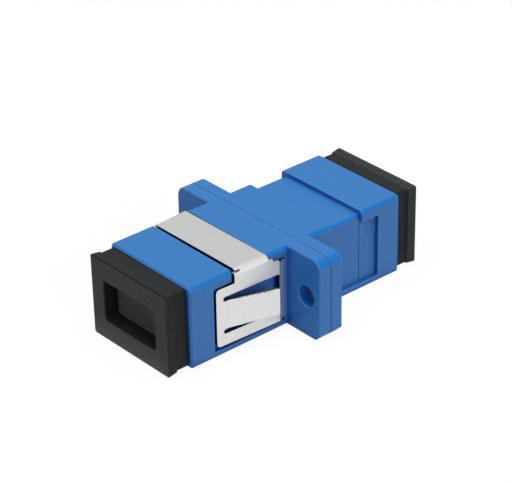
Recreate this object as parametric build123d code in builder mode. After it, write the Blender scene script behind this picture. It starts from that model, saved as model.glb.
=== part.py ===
import os
from math import cos, radians, sin, tan

from build123d import *

# Single-port fiber optic adapter: two welded housing halves with a flange, a steel
# panel clip on the front half, two latch inserts, a split sleeve and two dust caps.
# Millimetres. X runs along the flange, Y along the optical axis, Z is up.
# The origin is on the optical axis, in the parting plane between the halves.
# The front half, with the clip, lies towards -Y. The rear half is the same
# moulding turned half a turn about Z.

# Housing halves
body_width = 12.4
body_height = 9.2
half_length = 14.0
body_edge_radius = 0.5
end_edge_chamfer = 0.22

# Flange
half_flange = 1.5
flange_top_radius = 1.2
flange_bottom_chamfer = 0.8
flange_edge_chamfer = 0.12
parting_chamfer = 0.1
hole_spacing = 18.0
hole_diameter = 2.4
flange_end_wall = 0.8

# Groove for the clip: over the top and down into a shallow recess on each side
groove_front = 8.7
groove_rear = 4.2
groove_depth = 0.5
recess_front = 11.0
recess_rear = 1.8
recess_depth = 0.5
recess_corner_radius = 0.2
lip_chamfer = 0.07
front_eave = 1.3
rear_eave = 1.15
ledge_height = 0.8
neck_corner_radius = 0.45
ejector_diameter = 1.9
ejector_depth = 0.08
ejector_gap = 0.1
ejector_z = 2.1

# Connector port
port_width = 9.1
port_height = 7.5
port_corner_radius = 0.3
port_lead_in = 0.3
keyway_width = 2.6
keyway_length = 6.5
keyway_end_radius = 0.4
arm_relief_depth = 0.5
arm_relief_height = 4.4
arm_relief_start = 3.2
arm_relief_end = 9.4

# Alignment pins and sockets on the parting face
locator_diameter = 1.0
locator_length = 0.7
locator_x = 7.0
locator_z = 3.4
locator_clearance = 0.08

# Latch inserts
plate_width = 10.2
plate_thickness = 1.5
plate_clearance = 0.1
plate_corner_radius = 0.3
barrel_diameter = 4.6
barrel_tip = 6.3
barrel_tip_chamfer = 0.35
barrel_root_chamfer = 0.35
barrel_lip_diameter = 2.9
barrel_mouth_chamfer = 0.25
arm_thickness = 0.75
arm_height = 3.6
arm_tip = 7.4
arm_clearance = 0.1
arm_root_radius = 0.35
hook_reach = 0.8
hook_length = 1.5
hook_flat = 0.35

# Split sleeve
sleeve_length = 11.4
sleeve_bore = 2.5
sleeve_wall = 0.35
sleeve_slot = 0.5
sleeve_clearance = 0.05
sleeve_end_clearance = 0.05
sleeve_chamfer = 0.1

# Spring clip
sheet = 0.3
bend_radius = 0.35
strap_float = 0.17
leg_float = 0.2
leg_splay = 3.0
strap_front_gap = 0.35
strap_rear_gap = 0.1
neck_front_gap = 0.15
neck_rear_overhang = 0.45
neck_front_drop = 0.3
neck_rear_drop = 0.6
rear_shoulder_drop = 0.9
front_shoulder_gap = 0.15
heel_top_gap = 0.1
leg_front_gap = 0.15
leg_bottom_gap = 0.4
heel_rear_gap = 0.1
heel_run = 1.05
leg_front_radius = 0.45
shoulder_radius = 0.3
heel_top_radius = 0.3
heel_bottom_radius = 0.5
heel_angle = 24.0
relief_length = 0.45
relief_width = 0.2
window_front = 10.0
window_top = 2.08
window_bottom = 2.12
window_corner_radius = 0.2
slot_width = 0.52
tongue_root = 9.3
tongue_rear = 4.1
tongue_angle = 17.7
tongue_taper = 0.09
tongue_corner_radius = 0.25
clip_skew = 0.6

# Dust caps
cap_clearance = 0.05
cap_insertion = 6.1
cap_wall = 0.9
cap_web = 0.9
cap_corner_radius = 0.4
cap_slot_height = 3.8
cap_slot_length = 4.4
cap_lead_in = 0.3
neck_width = 11.3
neck_height = 8.8
neck_length = 1.5
cap_neck_radius = 0.3
rim_width = 11.9
rim_height = 9.1
rim_thickness = 1.1
rim_taper = 8.0
rim_corner_radius = 0.3
rim_edge_chamfer = 0.1
pocket_width = 8.0
pocket_height = 4.4
pocket_corner_radius = 0.4
pocket_edge_chamfer = 0.08
cap_gap = 0.1
front_cap_roll = -0.5

# Places that follow from the sizes above
flange_width = hole_spacing + hole_diameter + 2 * flange_end_wall
half_width = body_width / 2
top = body_height / 2
bottom = -body_height / 2
floor_x = half_width - recess_depth
groove_floor = top - groove_depth
ledge_top = bottom + ledge_height
seat_depth = plate_thickness + plate_clearance / 2
seat_width = plate_width + 2 * plate_clearance
plate_height = port_height - 2 * plate_clearance
sleeve_diameter = sleeve_bore + 2 * sleeve_wall
barrel_bore = sleeve_diameter + 2 * sleeve_clearance
barrel_depth = sleeve_length / 2 + sleeve_end_clearance
arm_outer_x = port_width / 2 - arm_clearance
arm_inner_x = arm_outer_x - arm_thickness
plug_width = port_width - 2 * cap_clearance
plug_height = port_height - 2 * cap_clearance
neck_root = half_length + cap_gap
neck_face = neck_root + neck_length
rim_face = neck_face + rim_thickness
pocket_floor = neck_root + cap_web
strap_front = groove_front - strap_front_gap
strap_rear = groove_rear + strap_rear_gap
neck_front = groove_front - neck_front_gap
neck_rear = groove_rear - neck_rear_overhang
neck_front_top = top - neck_front_drop
neck_rear_top = top - neck_rear_drop
front_shoulder = top - front_eave - front_shoulder_gap
rear_shoulder = top - rear_shoulder_drop
heel_top = top - rear_eave - heel_top_gap
leg_front = recess_front - leg_front_gap
leg_bottom = -ledge_top - leg_bottom_gap
heel_rear = recess_rear + heel_rear_gap
window_rear = heel_rear + heel_run
strap_underside = groove_floor + strap_float
strap_top = strap_underside + sheet
heel_turn = radians(heel_angle)
tongue_turn = radians(tongue_angle)
tongue_top = window_top - slot_width
tongue_bottom = -window_bottom + slot_width
clip_middle = (strap_front + strap_rear) / 2


def is_lip(edge):
    """Tells whether an edge is one where the clip's groove or recesses break the outer skin."""
    middle = edge.center()
    if not -recess_front <= middle.Y <= -recess_rear:
        return False
    if abs(abs(middle.X) - half_width + body_edge_radius) < 0.001:
        return False
    if abs(abs(middle.Z) - top + body_edge_radius) < 0.001:
        return False
    for point in edge.positions([0, 0.5, 1]):
        across = max(abs(point.X) - half_width + body_edge_radius, 0)
        upward = max(abs(point.Z) - top + body_edge_radius, 0)
        if abs((across**2 + upward**2) ** 0.5 - body_edge_radius) > 0.001:
            return False
    return True


def leg_inside(along):
    """Gives X of the inner face of the clip's right leg, at a distance in front of the parting plane."""
    return floor_x + leg_float + (leg_front - along) * tan(radians(leg_splay))


def leg_outside(along):
    """Gives X of the outer face of the clip's right leg."""
    return leg_inside(along) + sheet


# Front housing: half the flange, half the body, and the clip's groove
with BuildPart() as front_housing:
    with BuildSketch(Plane.XZ) as flange_outline:
        Rectangle(flange_width, body_height)
        chamfer(flange_outline.vertices().group_by(Axis.Y)[0], flange_bottom_chamfer)
        fillet(flange_outline.vertices().group_by(Axis.Y)[-1], flange_top_radius)
    extrude(amount=half_flange)
    chamfer(front_housing.edges().group_by(Axis.Y)[0], flange_edge_chamfer)
    chamfer(front_housing.edges().group_by(Axis.Y)[-1], parting_chamfer)

    with BuildSketch(Plane.XZ):
        RectangleRounded(body_width, body_height, body_edge_radius)
    extrude(amount=half_length)
    body_end = front_housing.faces().sort_by(Axis.Y)[0]
    chamfer(body_end.edges(), end_edge_chamfer)

    # Groove over the top: what lies outside the narrower neck goes
    with BuildSketch(Plane.XZ.offset(groove_rear)) as groove_section:
        with BuildLine():
            Polyline(
                (-body_width, ledge_top),
                (-floor_x, ledge_top),
                (-floor_x, groove_floor),
                (floor_x, groove_floor),
                (floor_x, ledge_top),
                (body_width, ledge_top),
                (body_width, body_height),
                (-body_width, body_height),
                close=True,
            )
        make_face()
        neck_corners = groove_section.vertices().filter_by_position(
            Axis.Y, groove_floor - 0.01, groove_floor + 0.01
        )
        fillet(neck_corners, neck_corner_radius)
    extrude(amount=groove_front - groove_rear, mode=Mode.SUBTRACT)

    # Side recesses for the clip's legs, one on each side
    for side in (Plane.YZ.offset(floor_x), Plane.YZ.offset(-half_width)):
        with BuildSketch(side) as recess_outline:
            with BuildLine():
                Polyline(
                    (-recess_front, ledge_top),
                    (-recess_rear, ledge_top),
                    (-recess_rear, top - rear_eave),
                    (-groove_rear, top - rear_eave),
                    (-groove_rear, groove_floor - neck_corner_radius),
                    (-groove_front, groove_floor - neck_corner_radius),
                    (-groove_front, top - front_eave),
                    (-recess_front, top - front_eave),
                    close=True,
                )
            make_face()
            fillet(recess_outline.vertices().group_by(Axis.X)[0], recess_corner_radius)
            fillet(recess_outline.vertices().group_by(Axis.X)[-1], recess_corner_radius)
        extrude(amount=recess_depth, mode=Mode.SUBTRACT)
    chamfer(front_housing.edges().filter_by(is_lip), lip_chamfer)

    # Round marks that the ejector pins leave on the recess floors
    for side in (Plane.YZ.offset(floor_x - ejector_depth), Plane.YZ.offset(-floor_x)):
        with BuildSketch(side):
            with Locations((ejector_gap + ejector_diameter / 2 - recess_front, ejector_z)):
                Circle(ejector_diameter / 2)
        extrude(amount=ejector_depth, mode=Mode.SUBTRACT)

    # Port, seat for the latch insert and room for its arms to spread
    with BuildSketch(Plane.XZ):
        RectangleRounded(port_width, port_height, port_corner_radius)
    extrude(amount=half_length, mode=Mode.SUBTRACT)
    mouth = front_housing.faces().sort_by(Axis.Y)[0].inner_wires()[0]
    chamfer(mouth.edges(), port_lead_in)
    with BuildSketch(Plane.XZ):
        RectangleRounded(seat_width, port_height, port_corner_radius)
    extrude(amount=seat_depth, mode=Mode.SUBTRACT)
    with BuildSketch(Plane.XZ.offset(arm_relief_start)):
        Rectangle(port_width + 2 * arm_relief_depth, arm_relief_height)
    extrude(amount=arm_relief_end - arm_relief_start, mode=Mode.SUBTRACT)

    # Keyway for the connector's key, open through the lower wall
    with BuildSketch(Plane.XY.offset(bottom)) as keyway_outline:
        with Locations((0, -half_length)):
            Rectangle(keyway_width, 2 * keyway_length)
        fillet(keyway_outline.vertices().group_by(Axis.Y)[-1], keyway_end_radius)
    extrude(amount=body_height / 2, mode=Mode.SUBTRACT)

    # Panel screw holes
    with Locations(Plane.XZ):
        with GridLocations(hole_spacing, 0, 2, 1):
            Hole(hole_diameter / 2)

    # Locating pins and sockets, placed so that the moulding meets its own twin
    with BuildSketch(Plane.XZ):
        with Locations((-locator_x, locator_z), (locator_x, -locator_z)):
            Circle(locator_diameter / 2 + locator_clearance)
    extrude(amount=locator_length + locator_clearance, mode=Mode.SUBTRACT)
    with BuildSketch(Plane.XZ):
        with Locations((locator_x, locator_z), (-locator_x, -locator_z)):
            Circle(locator_diameter / 2)
    extrude(amount=-locator_length)

front_housing.part.label = "front_housing"

with BuildPart() as rear_housing:
    add(front_housing.part.rotate(Axis.Z, 180))
rear_housing.part.label = "rear_housing"


# Front latch insert: a plate clamped at the flange, the sleeve's barrel and two latch arms
with BuildPart() as front_latch_insert:
    with BuildSketch(Plane.XZ):
        RectangleRounded(plate_width, plate_height, plate_corner_radius)
    extrude(amount=plate_thickness)

    with BuildSketch(Plane.YZ) as barrel_profile:
        with BuildLine():
            Polyline(
                (0, 0),
                (0, barrel_diameter / 2),
                (-barrel_tip + barrel_tip_chamfer, barrel_diameter / 2),
                (-barrel_tip, barrel_diameter / 2 - barrel_tip_chamfer),
                (-barrel_tip, 0),
                close=True,
            )
        make_face()
    revolve(axis=Axis.Y)
    plate_face_edges = front_latch_insert.edges().filter_by(GeomType.CIRCLE).group_by(Axis.Y)[-2]
    chamfer(plate_face_edges.sort_by(SortBy.RADIUS)[-1], barrel_root_chamfer)

    for side in (-1, 1):
        with BuildSketch(Plane.XY) as arm_profile:
            with BuildLine():
                Polyline(
                    (side * arm_outer_x, -plate_thickness / 2),
                    (side * arm_outer_x, -arm_tip),
                    (side * arm_inner_x, -arm_tip),
                    (side * (arm_inner_x - hook_reach), -arm_tip + hook_length - hook_flat),
                    (side * (arm_inner_x - hook_reach), -arm_tip + hook_length),
                    (side * arm_inner_x, -arm_tip + hook_length),
                    (side * arm_inner_x, -plate_thickness / 2),
                    close=True,
                )
            make_face()
        extrude(amount=arm_height / 2, both=True)
    arm_roots = front_latch_insert.edges().filter_by(Axis.Z).filter_by_position(
        Axis.Y, -plate_thickness - 0.01, -plate_thickness + 0.01
    )
    fillet(arm_roots.filter_by(lambda edge: abs(edge.center().X) < arm_outer_x - 0.01), arm_root_radius)

    with BuildSketch(Plane.XZ):
        Circle(barrel_bore / 2)
    extrude(amount=barrel_depth, mode=Mode.SUBTRACT)
    with BuildSketch(Plane.XZ):
        Circle(barrel_lip_diameter / 2)
    extrude(amount=barrel_tip, mode=Mode.SUBTRACT)
    barrel_tip_edges = front_latch_insert.edges().filter_by(GeomType.CIRCLE).group_by(Axis.Y)[0]
    chamfer(barrel_tip_edges.sort_by(SortBy.RADIUS)[0], barrel_mouth_chamfer)
front_latch_insert.part.label = "front_latch_insert"

with BuildPart() as rear_latch_insert:
    add(front_latch_insert.part.rotate(Axis.Z, 180))
rear_latch_insert.part.label = "rear_latch_insert"


# Split sleeve: a ceramic tube with one slot along its upper side
with BuildPart() as split_sleeve:
    with BuildSketch(Plane.XZ):
        Circle(sleeve_diameter / 2)
        Circle(sleeve_bore / 2, mode=Mode.SUBTRACT)
    extrude(amount=sleeve_length / 2, both=True)
    sleeve_ends = split_sleeve.edges().filter_by(GeomType.CIRCLE)
    chamfer(sleeve_ends, sleeve_chamfer)
    with Locations((0, 0, sleeve_diameter / 2)):
        Box(sleeve_slot, 2 * sleeve_length, sleeve_diameter, mode=Mode.SUBTRACT)
split_sleeve.part.label = "split_sleeve"


# Tongues of the clip, rooted at the front of each window and bent outwards
tongue_tip_x = leg_outside(tongue_root) + (tongue_root - tongue_rear) * tan(tongue_turn)
tongue_inner_rear = tongue_rear - sheet * sin(tongue_turn)
with BuildPart() as tongues:
    for side in (-1, 1):
        with BuildSketch(Plane.XY.offset(-body_height / 2)):
            with BuildLine():
                Polyline(
                    (side * leg_inside(window_front), -window_front),
                    (side * leg_outside(window_front), -window_front),
                    (side * leg_outside(tongue_root), -tongue_root),
                    (side * tongue_tip_x, -tongue_rear),
                    (side * (tongue_tip_x - sheet * cos(tongue_turn)), -tongue_inner_rear),
                    (side * leg_inside(tongue_root), -tongue_root + sheet * tan(tongue_turn / 2)),
                    close=True,
                )
            make_face()
        extrude(amount=body_height)
    with BuildSketch(Plane.YZ) as tongue_outline:
        with BuildLine():
            Polyline(
                (-window_front, tongue_bottom),
                (-window_front, tongue_top),
                (-tongue_root, tongue_top),
                (-tongue_inner_rear, tongue_top - tongue_taper),
                (-tongue_inner_rear, tongue_bottom + tongue_taper),
                (-tongue_root, tongue_bottom),
                close=True,
            )
        make_face()
        fillet(tongue_outline.vertices().group_by(Axis.X)[-1], tongue_corner_radius)
    extrude(amount=body_width, both=True, mode=Mode.INTERSECT)

# Spring clip before it is laid in its groove: one folded strip of sheet
with BuildPart() as square_clip:
    # The folded section widens towards the flange, because the legs stand slightly open
    for along in (leg_front, window_rear):
        with BuildSketch(Plane.XZ.offset(along)) as folded_section:
            Rectangle(2 * leg_outside(along), 2 * strap_top)
            fillet(folded_section.vertices(), bend_radius + sheet)
            with BuildSketch(mode=Mode.SUBTRACT) as folded_inside:
                Rectangle(2 * leg_inside(along), 2 * strap_underside)
                fillet(folded_inside.vertices(), bend_radius)
            with Locations((0, -leg_bottom)):
                Rectangle(2 * body_width, body_height, align=(Align.CENTER, Align.MAX), mode=Mode.SUBTRACT)
    loft()

    # The heel behind each window turns in towards the housing
    heel_end_x = leg_outside(window_rear) - (window_rear - heel_rear) * tan(heel_turn)
    for side in (-1, 1):
        with BuildSketch(Plane.XY.offset(-leg_bottom)):
            with BuildLine():
                Polyline(
                    (side * leg_outside(window_rear), -window_rear),
                    (side * heel_end_x, -heel_rear),
                    (side * (heel_end_x - sheet * cos(heel_turn)), -heel_rear - sheet * sin(heel_turn)),
                    (side * leg_inside(window_rear), -window_rear - sheet * tan(heel_turn / 2)),
                    close=True,
                )
            make_face()
        extrude(amount=leg_bottom + heel_top)

    # Flat outline seen from the side, the same for both legs
    with BuildSketch(Plane.YZ) as flat_outline:
        with BuildLine():
            Polyline(
                (-strap_front, body_height),
                (-strap_front, neck_front_top),
                (-neck_front, neck_front_top),
                (-neck_front, front_shoulder),
                (-leg_front, front_shoulder),
                (-leg_front, -leg_bottom),
                (-heel_rear, -leg_bottom),
                (-heel_rear, heel_top),
                (-window_rear, heel_top),
                (-window_rear, rear_shoulder),
                (-neck_rear, rear_shoulder),
                (-neck_rear, neck_rear_top),
                (-strap_rear, neck_rear_top),
                (-strap_rear, body_height),
                close=True,
            )
        make_face()
        shoulder_corner = flat_outline.vertices().sort_by_distance((-window_rear, rear_shoulder))[0]
        fillet(shoulder_corner, shoulder_radius)
        fillet(flat_outline.vertices().group_by(Axis.X)[0], leg_front_radius)
        heel_corners = flat_outline.vertices().group_by(Axis.X)[-1].sort_by(Axis.Y)
        fillet(heel_corners[-1], heel_top_radius)
        fillet(heel_corners[0], heel_bottom_radius)
        with Locations((-strap_front, neck_front_top)):
            SlotCenterToCenter(2 * relief_length, relief_width, mode=Mode.SUBTRACT)
    extrude(amount=body_width, both=True, mode=Mode.INTERSECT)

    # Window in each leg, with a slot reaching forward above and below the tongue's root
    with BuildSketch(Plane.YZ) as window_outline:
        with BuildLine():
            Polyline(
                (-window_front, -window_bottom),
                (-window_rear, -window_bottom),
                (-window_rear, window_top),
                (-window_front, window_top),
                (-window_front, tongue_top),
                (-tongue_root, tongue_top),
                (-tongue_root, tongue_bottom),
                (-window_front, tongue_bottom),
                close=True,
            )
        make_face()
        fillet(window_outline.vertices().group_by(Axis.X)[0], slot_width / 2 - 0.01)
        fillet(window_outline.vertices().group_by(Axis.X)[-1], window_corner_radius)
    extrude(amount=body_width, both=True, mode=Mode.SUBTRACT)
    add(tongues.part)

# The clip has play in its groove and lies slightly askew
with BuildPart() as spring_clip:
    add(square_clip.part.rotate(Axis((0, -clip_middle, 0), (0, 0, 1)), clip_skew))
spring_clip.part.label = "spring_clip"


# Dust cap: a hollow plug for the port, a neck in front of the housing's end and a tapered rim.
# It isn't pressed quite home.
with BuildPart() as dust_cap:
    with BuildSketch(Plane.XZ.offset(neck_root - cap_insertion)):
        RectangleRounded(plug_width, plug_height, cap_corner_radius)
    extrude(amount=cap_insertion)
    plug_end = dust_cap.faces().sort_by(Axis.Y)[-1]
    chamfer(plug_end.edges(), cap_lead_in)

    with BuildSketch(Plane.XZ.offset(neck_root)):
        RectangleRounded(neck_width, neck_height, cap_neck_radius)
    extrude(amount=neck_length)

    with BuildSketch(Plane.XZ.offset(rim_face)):
        RectangleRounded(rim_width, rim_height, rim_corner_radius)
    extrude(amount=-rim_thickness, taper=rim_taper)
    rim_front = dust_cap.faces().sort_by(Axis.Y)[0]
    chamfer(rim_front.edges(), rim_edge_chamfer)

    with BuildSketch(Plane.XZ.offset(pocket_floor)):
        RectangleRounded(pocket_width, pocket_height, pocket_corner_radius)
    extrude(amount=rim_face - pocket_floor, mode=Mode.SUBTRACT)
    pocket_edge = dust_cap.faces().sort_by(Axis.Y)[0].inner_wires()[0]
    chamfer(pocket_edge.edges(), pocket_edge_chamfer)

    # Hollow behind the web, with a slot in each narrow wall so that the wide walls give a little
    with BuildSketch(Plane.XZ.offset(neck_root - cap_insertion)):
        RectangleRounded(plug_width - 2 * cap_wall, plug_height - 2 * cap_wall, cap_corner_radius)
    extrude(amount=cap_insertion, mode=Mode.SUBTRACT)
    with BuildSketch(Plane.XZ.offset(neck_root - cap_insertion)):
        Rectangle(port_width, cap_slot_height)
    extrude(amount=cap_slot_length, mode=Mode.SUBTRACT)

# The front cap sits a little turned in its play
with BuildPart() as front_dust_cap:
    add(dust_cap.part.rotate(Axis.Y, front_cap_roll))
front_dust_cap.part.label = "front_dust_cap"

with BuildPart() as rear_dust_cap:
    add(dust_cap.part.rotate(Axis.Z, 180))
rear_dust_cap.part.label = "rear_dust_cap"


os.makedirs("parts", exist_ok=True)
pieces = [
    front_housing,
    rear_housing,
    front_latch_insert,
    rear_latch_insert,
    split_sleeve,
    spring_clip,
    front_dust_cap,
    rear_dust_cap,
]
for piece in pieces:
    export_step(piece.part, f"parts/{piece.part.label}.step")
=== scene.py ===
import math

import bpy
from mathutils import Matrix, Vector


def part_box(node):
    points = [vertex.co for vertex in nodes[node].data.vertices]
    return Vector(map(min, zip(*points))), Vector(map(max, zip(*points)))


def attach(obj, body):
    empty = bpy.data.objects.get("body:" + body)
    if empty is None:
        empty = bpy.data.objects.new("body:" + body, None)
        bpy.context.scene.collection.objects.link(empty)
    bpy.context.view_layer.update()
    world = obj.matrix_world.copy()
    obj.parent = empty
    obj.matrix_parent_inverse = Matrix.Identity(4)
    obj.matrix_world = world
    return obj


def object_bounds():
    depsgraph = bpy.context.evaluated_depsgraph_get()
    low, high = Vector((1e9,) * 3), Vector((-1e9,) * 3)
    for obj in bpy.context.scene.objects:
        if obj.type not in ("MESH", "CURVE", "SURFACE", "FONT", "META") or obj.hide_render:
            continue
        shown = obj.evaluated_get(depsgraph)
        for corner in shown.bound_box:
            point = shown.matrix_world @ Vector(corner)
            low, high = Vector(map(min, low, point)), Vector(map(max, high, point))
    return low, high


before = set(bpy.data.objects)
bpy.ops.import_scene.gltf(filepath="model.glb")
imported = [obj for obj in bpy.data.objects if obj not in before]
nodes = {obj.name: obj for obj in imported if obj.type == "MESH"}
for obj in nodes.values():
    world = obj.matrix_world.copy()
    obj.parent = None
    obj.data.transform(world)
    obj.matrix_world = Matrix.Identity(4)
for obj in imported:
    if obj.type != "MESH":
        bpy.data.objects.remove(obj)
cadLow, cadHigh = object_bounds()

scene = bpy.context.scene
scene.view_settings.view_transform = "Standard"


# Camera: looks down on the front port's end and the right-hand side
cameraView = {
    "azimuth": 49.469,
    "elevation": 29.885,
    "roll": -0.990,
    "distance": 0.222260,
    "slideAcross": 0.000217,
    "slideUp": -0.001562,
    "lens": 153.3,
    "sensor": 36.0,
    "nearest": 0.01,
    "farthest": 10,
}


def placeCamera(view):
    azimuth = math.radians(view["azimuth"])
    elevation = math.radians(view["elevation"])
    roll = math.radians(view["roll"])
    back = Vector((
        math.sin(azimuth) * math.cos(elevation),
        -math.cos(azimuth) * math.cos(elevation),
        math.sin(elevation),
    ))
    levelRight = Vector((math.cos(azimuth), math.sin(azimuth), 0))
    levelUp = back.cross(levelRight)
    right = math.cos(roll) * levelRight + math.sin(roll) * levelUp
    up = math.cos(roll) * levelUp - math.sin(roll) * levelRight
    place = view["distance"] * back - view["slideAcross"] * right - view["slideUp"] * up
    data = bpy.data.cameras.new("camera")
    data.lens = view["lens"]
    data.sensor_fit = "HORIZONTAL"
    data.sensor_width = view["sensor"]
    data.clip_start = view["nearest"]
    data.clip_end = view["farthest"]
    camera = bpy.data.objects.new("camera", data)
    camera.matrix_world = Matrix((
        (right.x, up.x, back.x, place.x),
        (right.y, up.y, back.y, place.y),
        (right.z, up.z, back.z, place.z),
        (0, 0, 0, 1),
    ))
    scene.collection.objects.link(camera)
    scene.camera = camera


placeCamera(cameraView)
print("camera placed")


# Node helpers
def startMaterial(name):
    material = bpy.data.materials.new(name)
    material.use_nodes = True
    tree = material.node_tree
    tree.nodes.clear()
    return material, tree


def feed(tree, socket, value):
    if isinstance(value, bpy.types.NodeSocket):
        tree.links.new(value, socket)
    else:
        socket.default_value = value


# An input is named with _ for a space, or as input0, input1 and so on where several share a name
def addNode(tree, kind, settings=None, **inputs):
    node = tree.nodes.new(kind)
    for key, value in (settings or {}).items():
        setattr(node, key, value)
    for key, value in inputs.items():
        numbered = key.startswith("input")
        label = int(key[len("input"):]) if numbered else key.replace("_", " ")
        feed(tree, node.inputs[label], value)
    return node


def startGroup(name, inputs, outputs):
    tree = bpy.data.node_groups.new(name, "ShaderNodeTree")
    for label, kind, value in inputs:
        socket = tree.interface.new_socket(name=label, in_out="INPUT", socket_type=kind)
        socket.default_value = value
    for label, kind in outputs:
        tree.interface.new_socket(name=label, in_out="OUTPUT", socket_type=kind)
    return tree, tree.nodes.new("NodeGroupInput"), tree.nodes.new("NodeGroupOutput")


def placeGroup(tree, group, **inputs):
    node = tree.nodes.new("ShaderNodeGroup")
    node.node_tree = group
    for key, value in inputs.items():
        feed(tree, node.inputs[key], value)
    return node


def objectPoint(tree):
    return addNode(tree, "ShaderNodeTexCoord").outputs["Object"]


def multiply(tree, first, second):
    product = addNode(tree, "ShaderNodeMath", {"operation": "MULTIPLY"}, input0=first, input1=second)
    return product.outputs[0]


# Edges: a softened normal, and a mask of outer edges, where little material lies behind the surface
edgeLook = {
    "samples": 8,
    "solid": 0.95,
    "thin": 0.80,
}


def makeEdgeGroup(look):
    tree, given, result = startGroup(
        "softEdges",
        [("radius", "NodeSocketFloat", 0.0001), ("wearWidth", "NodeSocketFloat", 0.0001)],
        [("normal", "NodeSocketVector"), ("edge", "NodeSocketFloat")],
    )
    rounded = addNode(tree, "ShaderNodeBevel", {"samples": look["samples"]}, Radius=given.outputs["radius"])
    behind = addNode(tree, "ShaderNodeAmbientOcclusion",
                     {"samples": look["samples"], "inside": True, "only_local": True},
                     Distance=given.outputs["wearWidth"])
    thin = addNode(tree, "ShaderNodeMapRange", {"clamp": True}, Value=behind.outputs["AO"],
                   From_Min=look["solid"], From_Max=look["thin"])
    tree.links.new(rounded.outputs[0], result.inputs["normal"])
    tree.links.new(thin.outputs[0], result.inputs["edge"])
    return tree


# Moulded skin: fine grain, and slow mottling
skinLook = {
    "grainDetail": 3.0,
    "grainRoughness": 0.6,
    "mottleDetail": 2.0,
    "mottleRoughness": 0.5,
}


def makeSkinGroup(look):
    tree, given, result = startGroup(
        "mouldedSkin",
        [("grainScale", "NodeSocketFloat", 9000.0), ("mottleScale", "NodeSocketFloat", 260.0)],
        [("grain", "NodeSocketFloat"), ("mottle", "NodeSocketFloat")],
    )
    point = objectPoint(tree)
    fine = addNode(tree, "ShaderNodeTexNoise", None, Vector=point, Scale=given.outputs["grainScale"],
                   Detail=look["grainDetail"], Roughness=look["grainRoughness"])
    slow = addNode(tree, "ShaderNodeTexNoise", None, Vector=point, Scale=given.outputs["mottleScale"],
                   Detail=look["mottleDetail"], Roughness=look["mottleRoughness"])
    tree.links.new(fine.outputs["Fac"], result.inputs["grain"])
    tree.links.new(slow.outputs["Fac"], result.inputs["mottle"])
    return tree


# Rolled or ground surface: grain that can be drawn out along one direction, and slow clouds
rolledLook = {
    "streakDetail": 4.0,
    "streakRoughness": 0.65,
    "cloudScale": 180.0,
    "cloudDetail": 2.0,
}


def makeRolledGroup(look):
    tree, given, result = startGroup(
        "rolledGrain",
        [("scale", "NodeSocketFloat", 3000.0), ("stretch", "NodeSocketVector", (1.0, 1.0, 1.0))],
        [("streak", "NodeSocketFloat"), ("cloud", "NodeSocketFloat")],
    )
    point = objectPoint(tree)
    drawn = addNode(tree, "ShaderNodeVectorMath", {"operation": "MULTIPLY"},
                    input0=point, input1=given.outputs["stretch"])
    streak = addNode(tree, "ShaderNodeTexNoise", None, Vector=drawn.outputs[0],
                     Scale=given.outputs["scale"], Detail=look["streakDetail"],
                     Roughness=look["streakRoughness"])
    cloud = addNode(tree, "ShaderNodeTexNoise", None, Vector=point, Scale=look["cloudScale"],
                    Detail=look["cloudDetail"])
    tree.links.new(streak.outputs["Fac"], result.inputs["streak"])
    tree.links.new(cloud.outputs["Fac"], result.inputs["cloud"])
    return tree


# Crevices: where little open space lies above the surface
creviceLook = {
    "samples": 8,
}


def makeCreviceGroup(look):
    tree, given, result = startGroup(
        "crevices",
        [("reach", "NodeSocketFloat", 0.001), ("depth", "NodeSocketFloat", 0.4),
         ("least", "NodeSocketFloat", 0.0)],
        [("shade", "NodeSocketFloat")],
    )
    openness = addNode(tree, "ShaderNodeAmbientOcclusion",
                       {"samples": look["samples"], "only_local": False},
                       Distance=given.outputs["reach"])
    shut = addNode(tree, "ShaderNodeMath", {"operation": "SUBTRACT"},
                   input0=1.0, input1=openness.outputs["AO"])
    scaled = addNode(tree, "ShaderNodeMapRange", {"clamp": True}, Value=shut.outputs[0],
                     From_Min=given.outputs["least"], To_Max=given.outputs["depth"])
    tree.links.new(scaled.outputs[0], result.inputs["shade"])
    return tree


# Facing: how far the surface faces along each axis of the object, either way, and a slant to the front
facingLook = {
    "low": 0.6,
    "high": 0.95,
    "slantStarts": -0.06,
    "slantFull": -0.12,
}


def makeFacingGroup(look):
    tree, given, result = startGroup(
        "facing",
        [("low", "NodeSocketFloat", look["low"]), ("high", "NodeSocketFloat", look["high"])],
        [("sideways", "NodeSocketFloat"), ("endways", "NodeSocketFloat"), ("upright", "NodeSocketFloat"),
         ("frontSlant", "NodeSocketFloat")],
    )
    normal = addNode(tree, "ShaderNodeTexCoord").outputs["Normal"]
    parts = addNode(tree, "ShaderNodeSeparateXYZ", None, Vector=normal)
    for place, label in enumerate(("sideways", "endways", "upright")):
        share = addNode(tree, "ShaderNodeMath", {"operation": "ABSOLUTE"}, input0=parts.outputs[place])
        mask = addNode(tree, "ShaderNodeMapRange", {"clamp": True}, Value=share.outputs[0],
                       From_Min=given.outputs["low"], From_Max=given.outputs["high"])
        tree.links.new(mask.outputs[0], result.inputs[label])
    slant = addNode(tree, "ShaderNodeMapRange", {"clamp": True}, Value=parts.outputs["Y"],
                    From_Min=look["slantStarts"], From_Max=look["slantFull"])
    tree.links.new(slant.outputs[0], result.inputs["frontSlant"])
    return tree


softEdges = makeEdgeGroup(edgeLook)
facing = makeFacingGroup(facingLook)
crevices = makeCreviceGroup(creviceLook)
mouldedSkin = makeSkinGroup(skinLook)
rolledGrain = makeRolledGroup(rolledLook)
print("shader groups built")


def mixColour(tree, factor, first, second):
    node = tree.nodes.new("ShaderNodeMix")
    node.data_type = "RGBA"
    for socket, value in ((0, factor), (6, first), (7, second)):  # the colour mix's own sockets
        feed(tree, node.inputs[socket], value)
    return node.outputs[2]


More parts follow.
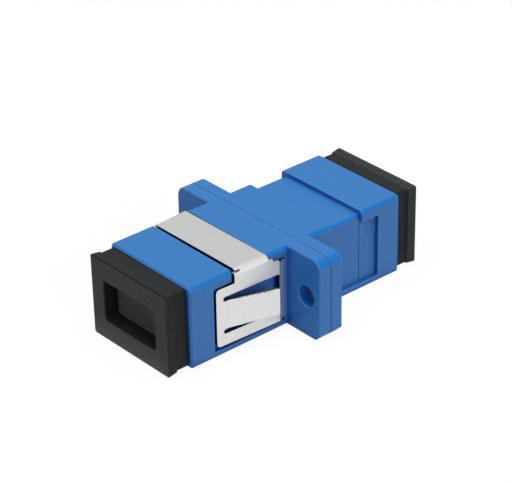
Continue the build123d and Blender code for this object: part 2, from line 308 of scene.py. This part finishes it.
def mapValue(tree, value, low, high, fromLow=0.0, fromHigh=1.0):
    return addNode(tree, "ShaderNodeMapRange", {"clamp": True}, Value=value, From_Min=fromLow,
                   From_Max=fromHigh, To_Min=low, To_Max=high).outputs[0]


def mapRoughness(tree, value, finish):
    low, high = finish["roughness"]
    return mapValue(tree, value, low, high)


# Specks: the colour grows darker and lighter with the fine grain, whose noise keeps mostly to this range
grainRange = (0.3, 0.7)


def speckle(tree, base, grain, share):
    shade = mapValue(tree, grain, 1 - share, 1 + share, *grainRange)
    return addNode(tree, "ShaderNodeHueSaturation", None, Value=shade, Color=base).outputs[0]


def finishMaterial(tree, base, roughness, height, normal, finish):
    bump = addNode(tree, "ShaderNodeBump", None, Strength=finish["bump"], Distance=finish["bumpDistance"],
                   Height=height, Normal=normal)
    shader = addNode(tree, "ShaderNodeBsdfPrincipled", None, Base_Color=base, Roughness=roughness,
                     Normal=bump.outputs[0])
    output = tree.nodes.new("ShaderNodeOutputMaterial")
    tree.links.new(shader.outputs[0], output.inputs[0])
    return shader


# Blue housing: satin moulded plastic, with painted sheen on the sides, painted shade on the end faces and
# in crevices, a painted tint on the rounded long edges, and painted highlights on outer edges
housingFinish = {
    "base": (0.026, 0.188, 0.516, 1),
    "lighter": (0.032, 0.203, 0.546, 1),
    "paintedSideSheen": (0.052, 0.200, 0.535, 1),
    "paintedEndShade": (0.019, 0.168, 0.545, 1),
    "rounded": (0.003, 0.178, 0.560, 1),
    "roundedLow": 0.20,
    "roundedHigh": 0.45,
    "edge": (0.200, 0.460, 0.860, 1),
    "paintedCreviceShade": (0.0005, 0.010, 0.225, 1),
    "creviceReach": 0.0020,
    "creviceDepth": 0.92,
    "creviceLeast": 0.15,
    "roughness": (0.40, 0.50),
    "gloss": 0.25,
    "edgeRadius": 0.00008,
    "wearWidth": 0.0001,
    "wear": 0.5,
    "mottleScale": 240.0,
    "grainScale": 7000.0,
    "specks": 0.13,
    "bump": 1.0,
    "bumpDistance": 0.000014,
}


def makeHousingMaterial(finish):
    material, tree = startMaterial("housingBlue")
    edges = placeGroup(tree, softEdges, radius=finish["edgeRadius"], wearWidth=finish["wearWidth"])
    skin = placeGroup(tree, mouldedSkin, grainScale=finish["grainScale"], mottleScale=finish["mottleScale"])
    faces = placeGroup(tree, facing)
    base = mixColour(tree, skin.outputs["mottle"], finish["base"], finish["lighter"])
    # painted sheen: faces turned sideways take a lighter, greyer blue for the light they mirror
    base = mixColour(tree, faces.outputs["sideways"], base, finish["paintedSideSheen"])
    # painted shade: faces turned to the front or back take a darker, more saturated blue
    base = mixColour(tree, faces.outputs["endways"], base, finish["paintedEndShade"])
    # painted light: faces tilted between top and side, on the rounded long edges, take a purer blue tint
    # for how light falls on them
    tilted = placeGroup(tree, facing, low=finish["roundedLow"], high=finish["roundedHigh"])
    rounded = multiply(tree, tilted.outputs["upright"], tilted.outputs["sideways"])
    base = mixColour(tree, rounded, base, finish["rounded"])
    base = speckle(tree, base, skin.outputs["grain"], finish["specks"])
    # painted highlight: outer edges are lightened
    paintedEdgeMask = mapValue(tree, edges.outputs["edge"], 0.0, finish["wear"])
    base = mixColour(tree, paintedEdgeMask, base, finish["edge"])
    # painted shade: the blue darkens where little open space lies above the surface
    gaps = placeGroup(tree, crevices, reach=finish["creviceReach"], depth=finish["creviceDepth"],
                      least=finish["creviceLeast"])
    base = mixColour(tree, gaps.outputs["shade"], base, finish["paintedCreviceShade"])
    roughness = mapRoughness(tree, skin.outputs["mottle"], finish)
    shader = finishMaterial(tree, base, roughness, skin.outputs["grain"], edges.outputs["normal"], finish)
    shader.inputs["Specular IOR Level"].default_value = finish["gloss"]
    return material


# Black dust caps: matte moulded plastic; the ends greyer, partly grain and partly painted sheen, with
# painted light in the pocket and on faces slanting to the front, and painted shade along the edges and on
# chamfers
capFinish = {
    "base": (0.009, 0.011, 0.012, 1),
    "lighter": (0.013, 0.015, 0.016, 1),
    "grainAndPaintedSheen": (0.033, 0.035, 0.034, 1),
    "paintedPocketLight": (0.145, 0.148, 0.146, 1),
    "pocketLightReach": 0.0030,
    "pocketLightDepth": 1.0,
    "edge": (0.003, 0.004, 0.004, 1),
    "wear": 0.7,
    "paintedFrontLight": (0.030, 0.036, 0.035, 1),
    "chamfer": (0.001, 0.001, 0.001, 1),
    "chamferLow": 0.45,
    "chamferHigh": 0.6,
    "roughness": (0.52, 0.62),
    "gloss": 0.15,
    "edgeRadius": 0.00003,
    "wearWidth": 0.00008,
    "mottleScale": 320.0,
    "grainScale": 6500.0,
    "specks": 0.50,
    "bump": 1.0,
    "bumpDistance": 0.000018,
}


def makeCapMaterial(finish):
    material, tree = startMaterial("capBlack")
    edges = placeGroup(tree, softEdges, radius=finish["edgeRadius"], wearWidth=finish["wearWidth"])
    skin = placeGroup(tree, mouldedSkin, grainScale=finish["grainScale"], mottleScale=finish["mottleScale"])
    base = mixColour(tree, skin.outputs["mottle"], finish["base"], finish["lighter"])
    faces = placeGroup(tree, facing)
    # painted light: ends with little open space above them, as in the pocket, are lightened
    gaps = placeGroup(tree, crevices, reach=finish["pocketLightReach"], depth=finish["pocketLightDepth"])
    face = mixColour(tree, gaps.outputs["shade"], finish["grainAndPaintedSheen"], finish["paintedPocketLight"])
    # painted light: faces slanting to the front are lightened
    base = mixColour(tree, faces.outputs["frontSlant"], base, finish["paintedFrontLight"])
    # the ends take a greyer tone, partly a grained texture and partly painted sheen
    base = mixColour(tree, faces.outputs["endways"], base, face)
    base = speckle(tree, base, skin.outputs["grain"], finish["specks"])
    # painted shade: outer edges are darkened
    paintedEdgeMask = mapValue(tree, edges.outputs["edge"], 0.0, finish["wear"])
    base = mixColour(tree, paintedEdgeMask, base, finish["edge"])
    # painted shade: chamfers tilted between upright and endways are darkened
    tilted = placeGroup(tree, facing, low=finish["chamferLow"], high=finish["chamferHigh"])
    chamfer = multiply(tree, tilted.outputs["upright"], tilted.outputs["endways"])
    base = mixColour(tree, chamfer, base, finish["chamfer"])
    roughness = mapRoughness(tree, skin.outputs["mottle"], finish)
    shader = finishMaterial(tree, base, roughness, skin.outputs["grain"], edges.outputs["normal"], finish)
    shader.inputs["Specular IOR Level"].default_value = finish["gloss"]
    return material


# Steel clip: tumbled stainless strip, with painted shade on its upward faces and on its cut edges, and
# burnished on its heels
clipFinish = {
    "base": (0.86, 0.86, 0.85, 1),
    "darker": (0.82, 0.82, 0.812, 1),
    "paintedTopShade": (0.58, 0.595, 0.58, 1),
    "paintedCutShade": (0.030, 0.030, 0.032, 1),
    "levelLow": 0.4,
    "strapUnderside": 0.0036,
    "strapTop": 0.0040,
    "heelLow": 0.33,
    "heelHigh": 0.40,
    "roughness": (0.40, 0.48),
    "metallic": 0.48,
    "burnished": 0.87,
    "edgeRadius": 0.00004,
    "wearWidth": 0.00005,
    "rolled": (1.0, 0.7, 1.0),
    "scale": 6500.0,
    "specks": 0.05,
    "bump": 0.2,
    "bumpDistance": 0.000006,
}


def makeClipMaterial(finish):
    material, tree = startMaterial("clipSteel")
    edges = placeGroup(tree, softEdges, radius=finish["edgeRadius"], wearWidth=finish["wearWidth"])
    rolled = placeGroup(tree, rolledGrain, scale=finish["scale"], stretch=finish["rolled"])
    faces = placeGroup(tree, facing, low=finish["levelLow"])
    heels = placeGroup(tree, facing, low=finish["heelLow"], high=finish["heelHigh"])
    # painted shade: the sheet's cut edges, faces upright below the strap's top and faces turned endways,
    # are darkened
    height = addNode(tree, "ShaderNodeSeparateXYZ", None, Vector=objectPoint(tree)).outputs[2]
    below = mapValue(tree, height, 1.0, 0.0, finish["strapUnderside"], finish["strapTop"])
    levelCuts = multiply(tree, faces.outputs["upright"], below)
    endCuts = placeGroup(tree, facing).outputs["endways"]
    paintedCutShade = addNode(tree, "ShaderNodeMath", {"operation": "MAXIMUM"},
                  input0=levelCuts, input1=endCuts).outputs[0]
    base = mixColour(tree, rolled.outputs["streak"], finish["darker"], finish["base"])
    # painted shade: upward faces take a greyer tone
    base = mixColour(tree, faces.outputs["upright"], base, finish["paintedTopShade"])
    base = speckle(tree, base, rolled.outputs["streak"], finish["specks"])
    base = mixColour(tree, paintedCutShade, base, finish["paintedCutShade"])
    roughness = mapRoughness(tree, rolled.outputs["cloud"], finish)
    shader = finishMaterial(tree, base, roughness, rolled.outputs["streak"], edges.outputs["normal"],
                            finish)
    metallic = mapValue(tree, heels.outputs["endways"], finish["metallic"], finish["burnished"])
    tree.links.new(metallic, shader.inputs["Metallic"])
    return material


# Latch inserts: natural moulded plastic
insertFinish = {
    "base": (0.72, 0.70, 0.65, 1),
    "lighter": (0.78, 0.765, 0.72, 1),
    "roughness": (0.36, 0.48),
    "edgeRadius": 0.00006,
    "wearWidth": 0.0001,
    "mottleScale": 300.0,
    "grainScale": 8000.0,
    "bump": 0.2,
    "bumpDistance": 0.00001,
    "subsurface": 0.15,
    "subsurfaceScale": 0.0006,
}


def makeInsertMaterial(finish):
    material, tree = startMaterial("insertNatural")
    edges = placeGroup(tree, softEdges, radius=finish["edgeRadius"], wearWidth=finish["wearWidth"])
    skin = placeGroup(tree, mouldedSkin, grainScale=finish["grainScale"], mottleScale=finish["mottleScale"])
    base = mixColour(tree, skin.outputs["mottle"], finish["base"], finish["lighter"])
    roughness = mapRoughness(tree, skin.outputs["mottle"], finish)
    shader = finishMaterial(tree, base, roughness, skin.outputs["grain"], edges.outputs["normal"], finish)
    shader.inputs["Subsurface Weight"].default_value = finish["subsurface"]
    shader.inputs["Subsurface Scale"].default_value = finish["subsurfaceScale"]
    return material


# Split sleeve: ground zirconia
sleeveFinish = {
    "base": (0.86, 0.85, 0.81, 1),
    "lighter": (0.90, 0.895, 0.87, 1),
    "roughness": (0.16, 0.26),
    "edgeRadius": 0.00004,
    "wearWidth": 0.00008,
    "ground": (0.06, 1.0, 0.06),
    "scale": 5200.0,
    "bump": 0.15,
    "bumpDistance": 0.000004,
}


def makeSleeveMaterial(finish):
    material, tree = startMaterial("ceramicWhite")
    edges = placeGroup(tree, softEdges, radius=finish["edgeRadius"], wearWidth=finish["wearWidth"])
    ground = placeGroup(tree, rolledGrain, scale=finish["scale"], stretch=finish["ground"])
    base = mixColour(tree, ground.outputs["cloud"], finish["base"], finish["lighter"])
    roughness = mapRoughness(tree, ground.outputs["cloud"], finish)
    finishMaterial(tree, base, roughness, ground.outputs["streak"], edges.outputs["normal"], finish)
    return material


finishes = {
    "housing": makeHousingMaterial(housingFinish),
    "insert": makeInsertMaterial(insertFinish),
    "ceramic": makeSleeveMaterial(sleeveFinish),
    "clip": makeClipMaterial(clipFinish),
    "cap": makeCapMaterial(capFinish),
}
pieceSlots = {
    "front_housing": "housing",
    "rear_housing": "housing",
    "front_latch_insert": "insert",
    "rear_latch_insert": "insert",
    "split_sleeve": "ceramic",
    "spring_clip": "clip",
    "front_dust_cap": "cap",
    "rear_dust_cap": "cap",
}
for nodeName, slotName in pieceSlots.items():
    piece = nodes[nodeName]
    if not piece.material_slots:
        piece.data.materials.append(None)
    for materialSlot in piece.material_slots:
        materialSlot.material = finishes[slotName]
print("materials given to", len(pieceSlots), "pieces")


# Seam and burr finishes
seamFinish = {
    "base": (0.001, 0.030, 0.190, 1),
    "lighter": (0.003, 0.050, 0.250, 1),
    "roughness": 0.6,
    "mottleScale": 900.0,
}
# burr flakes: real burrs on the cut edge, coloured near black as painted shade for the shadow line along
# the tongue's upper edge
burrFinish = {
    "base": (0.030, 0.030, 0.032, 1),
    "lighter": (0.110, 0.110, 0.112, 1),
    "roughness": 0.45,
    "mottleScale": 4000.0,
}


def makeSpeckledMaterial(name, finish):
    material, tree = startMaterial(name)
    skin = placeGroup(tree, mouldedSkin, mottleScale=finish["mottleScale"])
    base = mixColour(tree, skin.outputs["mottle"], finish["base"], finish["lighter"])
    shader = addNode(tree, "ShaderNodeBsdfPrincipled", None, Base_Color=base, Roughness=finish["roughness"])
    output = tree.nodes.new("ShaderNodeOutputMaterial")
    tree.links.new(shader.outputs[0], output.inputs[0])
    return material


# Geometry Nodes helpers
def startGrowth(name, inputs):
    tree = bpy.data.node_groups.new(name, "GeometryNodeTree")
    tree.interface.new_socket(name="path", in_out="INPUT", socket_type="NodeSocketGeometry")
    for label, kind in inputs:
        tree.interface.new_socket(name=label, in_out="INPUT", socket_type=kind)
    tree.interface.new_socket(name="grown", in_out="OUTPUT", socket_type="NodeSocketGeometry")
    return tree, tree.nodes.new("NodeGroupInput"), tree.nodes.new("NodeGroupOutput")


def endGrowth(tree, given, result, geometry):
    real = addNode(tree, "GeometryNodeRealizeInstances", None, Geometry=geometry)
    dressed = addNode(tree, "GeometryNodeSetMaterial", None, Geometry=real.outputs[0],
                      Material=given.outputs["material"])
    tree.links.new(dressed.outputs[0], result.inputs["grown"])


# Each value goes to the tree's input of the same name
def growPiece(name, chains, tree, values):
    points = [point for chain in chains for point in chain]
    edges = []
    start = 0
    for chain in chains:
        edges += [(start + step, start + step + 1) for step in range(len(chain) - 1)]
        start += len(chain)
    mesh = bpy.data.meshes.new(name + "Path")
    mesh.from_pydata(points, edges, [])
    piece = bpy.data.objects.new(name, mesh)
    scene.collection.objects.link(piece)
    growth = piece.modifiers.new("growth", "NODES")
    growth.node_group = tree
    for item in tree.interface.items_tree:
        if item.in_out == "INPUT" and item.name in values:
            growth[item.identifier] = values[item.name]
    bpy.context.view_layer.update()
    evaluated = piece.evaluated_get(bpy.context.evaluated_depsgraph_get())
    grown = bpy.data.meshes.new_from_object(evaluated)
    piece.modifiers.remove(growth)
    piece.data = grown
    print(name, "has", len(grown.polygons), "faces")
    return piece


# Seam beads: a tube along each path whose radius wavers
def makeBeadTree():
    tree, given, result = startGrowth("seamBead", [
        ("spacing", "NodeSocketFloat"),
        ("radius", "NodeSocketFloat"),
        ("sides", "NodeSocketInt"),
        ("thinnest", "NodeSocketFloat"),
        ("thickest", "NodeSocketFloat"),
        ("seed", "NodeSocketInt"),
        ("material", "NodeSocketMaterial"),
    ])
    curve = addNode(tree, "GeometryNodeMeshToCurve", None, Mesh=given.outputs["path"])
    even = addNode(tree, "GeometryNodeResampleCurve", {"mode": "LENGTH"}, Curve=curve.outputs[0],
                   Length=given.outputs["spacing"])
    waver = addNode(tree, "FunctionNodeRandomValue", {"data_type": "FLOAT"},
                    input2=given.outputs["thinnest"], input3=given.outputs["thickest"],
                    Seed=given.outputs["seed"])
    ring = addNode(tree, "GeometryNodeCurvePrimitiveCircle", None, Resolution=given.outputs["sides"],
                   Radius=given.outputs["radius"])
    tube = addNode(tree, "GeometryNodeCurveToMesh", None, Curve=even.outputs[0],
                   Profile_Curve=ring.outputs[0], Scale=waver.outputs[1], Fill_Caps=True)
    endGrowth(tree, given, result, tube.outputs[0])
    return tree


# Burrs: small broken flakes set at uneven turns along a cut edge
def makeBurrTree():
    tree, given, result = startGrowth("cutBurr", [
        ("spacing", "NodeSocketFloat"),
        ("flake", "NodeSocketFloat"),
        ("sides", "NodeSocketInt"),
        ("smallest", "NodeSocketFloat"),
        ("largest", "NodeSocketFloat"),
        ("seed", "NodeSocketInt"),
        ("material", "NodeSocketMaterial"),
    ])
    curve = addNode(tree, "GeometryNodeMeshToCurve", None, Mesh=given.outputs["path"])
    even = addNode(tree, "GeometryNodeResampleCurve", {"mode": "LENGTH"}, Curve=curve.outputs[0],
                   Length=given.outputs["spacing"])
    flake = addNode(tree, "GeometryNodeMeshCone", None, Vertices=given.outputs["sides"],
                    Radius_Bottom=given.outputs["flake"], Depth=given.outputs["flake"])
    turn = addNode(tree, "FunctionNodeRandomValue", {"data_type": "FLOAT_VECTOR"}, input0=(0, 0, 0),
                   input1=(math.tau, math.tau, math.tau), Seed=given.outputs["seed"])
    size = addNode(tree, "FunctionNodeRandomValue", {"data_type": "FLOAT_VECTOR"},
                   input0=given.outputs["smallest"], input1=given.outputs["largest"],
                   Seed=given.outputs["seed"])
    flakes = addNode(tree, "GeometryNodeInstanceOnPoints", None, Points=even.outputs[0],
                     Instance=flake.outputs[0], Rotation=turn.outputs[0], Scale=size.outputs[0])
    endGrowth(tree, given, result, flakes.outputs[0])
    return tree


# Seams: flash where the halves are welded, and the line that the mould's insert leaves in each recess
seamSizes = {
    "topRadius": 0.0012,
    "bottomChamfer": 0.0008,
    "bodySide": 0.0057,
    "grooveDepth": 0.00009,
    "flushDepth": 0.00003,
    "arcSteps": 10,
    "recessFloor": 0.0057,
    "insertLine": 0.0087,
    "insertLow": -0.0038,
    "insertHigh": 0.0040,
    "radius": 0.00006,
    "sides": 8,
    "thinnest": 0.85,
    "thickest": 1.1,
    "spacing": 0.00015,
    "seed": 4,
}


def wingSeam(side, sizes, halfWidth, top):
    inset = sizes["grooveDepth"]
    radius = sizes["topRadius"]
    chain = [(side * sizes["bodySide"], 0, top - inset)]
    for step in range(sizes["arcSteps"] + 1):
        turn = math.pi / 2 * step / sizes["arcSteps"]
        across = halfWidth - radius + (radius - inset) * math.sin(turn)
        chain.append((side * across, 0, top - radius + (radius - inset) * math.cos(turn)))
    chain.append((side * (halfWidth - inset), 0, sizes["bottomChamfer"] - top))
    chain.append((side * (halfWidth - sizes["bottomChamfer"]), 0, inset - top))
    chain.append((side * sizes["bodySide"], 0, inset - top))
    return chain


def makeSeams(sizes):
    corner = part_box("front_housing")[1]
    halfWidth = corner[0]
    top = corner[2]
    chains = [wingSeam(side, sizes, halfWidth, top) for side in (-1, 1)]
    for face in (-1, 1):
        height = face * (top - sizes["flushDepth"])
        chains.append([(-sizes["bodySide"], 0, height), (sizes["bodySide"], 0, height)])
    for side in (-1, 1):
        for half in (-1, 1):
            across = side * (sizes["recessFloor"] - sizes["flushDepth"])
            along = half * sizes["insertLine"]
            chains.append([(across, along, sizes["insertLow"]), (across, along, sizes["insertHigh"])])
    material = makeSpeckledMaterial("seamBlue", seamFinish)
    seams = growPiece("weldSeams", chains, makeBeadTree(), {**sizes, "material": material})
    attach(seams, "adapter")


# Burrs on the upper cut edge of both tongues
burrSizes = {
    "rootAcross": 0.00636,
    "rootAlong": -0.0090,
    "rootHeight": 0.00158,
    "tipAcross": 0.00790,
    "tipAlong": -0.0042,
    "tipHeight": 0.00151,
    "clipMiddle": -0.006325,
    "clipSkew": 0.6,
    "spacing": 0.00022,
    "flake": 0.00018,
    "sides": 5,
    "smallest": 0.2,
    "largest": 1.0,
    "seed": 11,
}


def makeBurrs(sizes):
    turn = Matrix.Rotation(math.radians(sizes["clipSkew"]), 3, "Z")
    middle = Vector((0, sizes["clipMiddle"], 0))
    chains = []
    for side in (-1, 1):
        root = Vector((side * sizes["rootAcross"], sizes["rootAlong"], sizes["rootHeight"]))
        tip = Vector((side * sizes["tipAcross"], sizes["tipAlong"], sizes["tipHeight"]))
        chains.append([tuple(middle + turn @ (point - middle)) for point in (root, tip)])
    material = makeSpeckledMaterial("burrSteelPaintedShade", burrFinish)
    burrs = growPiece("tongueBurrs", chains, makeBurrTree(), {**sizes, "material": material})
    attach(burrs, "adapter")


makeSeams(seamSizes)
makeBurrs(burrSizes)
print("seams and burrs made")


# Rays that see, mirror or look through to the floor and the world, rather than only carry light
def viewRays(tree):
    rays = tree.nodes.new("ShaderNodeLightPath")
    seen = addNode(tree, "ShaderNodeMath", {"operation": "MAXIMUM"},
                   input0=rays.outputs["Is Camera Ray"], input1=rays.outputs["Is Glossy Ray"])
    return addNode(tree, "ShaderNodeMath", {"operation": "MAXIMUM"},
                   input0=seen.outputs[0], input1=rays.outputs["Is Transmission Ray"]).outputs[0]


# Floor: white to the eye with a faint shadow, and greyer for the light that it throws back
floorSizes = {
    "size": 3.0,
    "drop": 0.00004,
    "shade": (0.93, 0.93, 0.93, 1),
    "bounceShade": (0.45, 0.45, 0.45, 1),
    "shadowShare": 0.08,
    "glow": 1.01,
}


def makeFloor(sizes):
    half = sizes["size"] / 2
    height = cadLow[2] - sizes["drop"]
    mesh = bpy.data.meshes.new("floor")
    corners = [(-half, -half, height), (half, -half, height), (half, half, height), (-half, half, height)]
    mesh.from_pydata(corners, [], [(0, 1, 2, 3)])
    floor = bpy.data.objects.new("floor", mesh)
    scene.collection.objects.link(floor)
    material, tree = startMaterial("paleFloor")
    seen = viewRays(tree)
    matt = addNode(tree, "ShaderNodeBsdfDiffuse", None,
                   Color=mixColour(tree, seen, sizes["bounceShade"], sizes["shade"]))
    glow = addNode(tree, "ShaderNodeEmission", None, Color=(1, 1, 1, 1), Strength=sizes["glow"])
    lit = addNode(tree, "ShaderNodeMixShader", None, Fac=1 - sizes["shadowShare"],
                  input1=matt.outputs[0], input2=glow.outputs[0])
    shown = addNode(tree, "ShaderNodeMixShader", None, Fac=seen,
                    input1=matt.outputs[0], input2=lit.outputs[0])
    output = tree.nodes.new("ShaderNodeOutputMaterial")
    tree.links.new(shown.outputs[0], output.inputs[0])
    mesh.materials.append(material)


# World: white where the camera sees it, dimmer in mirrored rays and as light
worldLight = {
    "strength": 0.30,
    "mirroredStrength": 0.80,
    "seenStrength": 1.0,
}


def makeWorld(light):
    world = bpy.data.worlds.new("studio")
    world.use_nodes = True
    tree = world.node_tree
    tree.nodes.clear()
    lit = mapValue(tree, viewRays(tree), light["strength"], light["mirroredStrength"])
    rays = tree.nodes.new("ShaderNodeLightPath")
    strength = mapValue(tree, rays.outputs["Is Camera Ray"], lit, light["seenStrength"])
    background = addNode(tree, "ShaderNodeBackground", None, Color=(1, 1, 1, 1), Strength=strength)
    output = tree.nodes.new("ShaderNodeOutputWorld")
    tree.links.new(background.outputs[0], output.inputs[0])
    scene.world = world


# Lamps: round softboxes that point at the middle of the object
lamps = {
    "topLamp": {"power": 3.6, "size": 0.6, "place": (0.02, -0.05, 0.75)},
    "sideLamp": {"power": 1.3, "size": 0.45, "place": (0.62, -0.05, 0.25)},
    "frontLamp": {"power": 0.22, "size": 0.4, "place": (-0.05, -0.60, 0.30)},
}


def placeLamp(name, lamp):
    data = bpy.data.lights.new(name, "AREA")
    data.shape = "DISK"
    data.size = lamp["size"]
    data.energy = lamp["power"]
    light = bpy.data.objects.new(name, data)
    light.location = lamp["place"]
    light.rotation_euler = Vector(lamp["place"]).to_track_quat("Z", "Y").to_euler()
    scene.collection.objects.link(light)


makeFloor(floorSizes)
makeWorld(worldLight)
for lampName, lampValues in lamps.items():
    placeLamp(lampName, lampValues)
print("studio lit")
